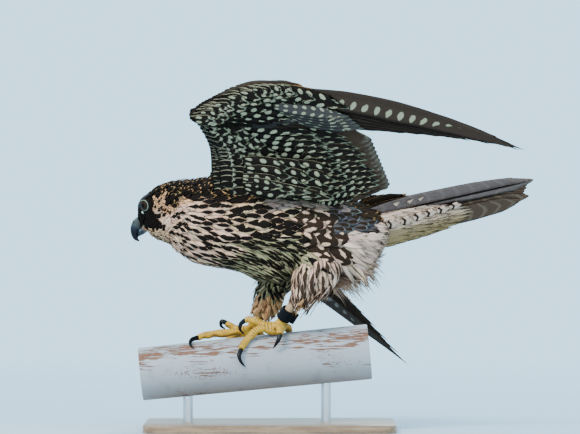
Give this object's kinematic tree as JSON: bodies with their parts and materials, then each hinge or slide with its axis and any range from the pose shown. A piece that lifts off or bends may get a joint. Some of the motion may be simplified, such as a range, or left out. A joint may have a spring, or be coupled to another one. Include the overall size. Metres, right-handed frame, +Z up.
{
  "type": "peregrine falcon",
  "caption": "Young peregrine falcon, life size, leaning forward on a short painted tube with its left wing raised over its back, on a plain display stand",
  "frame": {"origin": "middle of the underside of the display base", "axes": "X runs along the falcon from its head (negative) to its tail (positive), Y points to its right side, Z is up"},
  "size_m": [0.4036, 0.3614, 0.3467],
  "materials": {
    "breast_feather": "soft cream and buff body feathers with blackish streaks, bars and round spots",
    "head_feather": "short dark brown head feathers, buff cheek and throat, blackish moustache stripe",
    "wing_feather": "matt blackish-brown wing feathers with pale grey-green spots and pale fringes",
    "tail_feather": "brown tail feathers with cream barred coverts beneath",
    "bill": "smooth horn, blue-grey with a blackish hook and a pale blue-grey cere",
    "eye": "wet dark brown eye",
    "foot_skin": "yellow scaled skin",
    "claw": "glossy black horn",
    "black_band": "black anodised leg band, bare of lettering",
    "grey_band": "dull grey metal leg band",
    "painted_tube": "grey-white paint, scuffed through to rust-brown along its top",
    "base_wood": "plain oiled wood, satin",
    "rod_steel": "brushed steel"
  },
  "bodies": {
    "root": {"torso": "breast_feather", "neck": "head_feather", "head": "head_feather", "beak_upper": "bill", "beak_lower": "bill", "eye_left": "eye", "eye_right": "eye", "wing_left_arm": "wing_feather", "wing_left_hand": "wing_feather", "wing_right_arm": "wing_feather", "wing_right_hand": "wing_feather", "tail": "tail_feather", "thigh_left": "breast_feather", "thigh_right": "breast_feather", "tarsus_left": "foot_skin", "tarsus_right": "foot_skin", "foot_left": "foot_skin", "foot_right": "foot_skin", "claw_left_middle": "claw", "claw_left_inner": "claw", "claw_left_outer": "claw", "claw_left_back": "claw", "claw_right_middle": "claw", "claw_right_inner": "claw", "claw_right_outer": "claw", "claw_right_back": "claw", "band_left": "black_band", "band_right": "grey_band", "perch": "painted_tube", "stand_base": "base_wood", "stand_rod_front": "rod_steel", "stand_rod_rear": "rod_steel"}
  },
  "joints": []
}
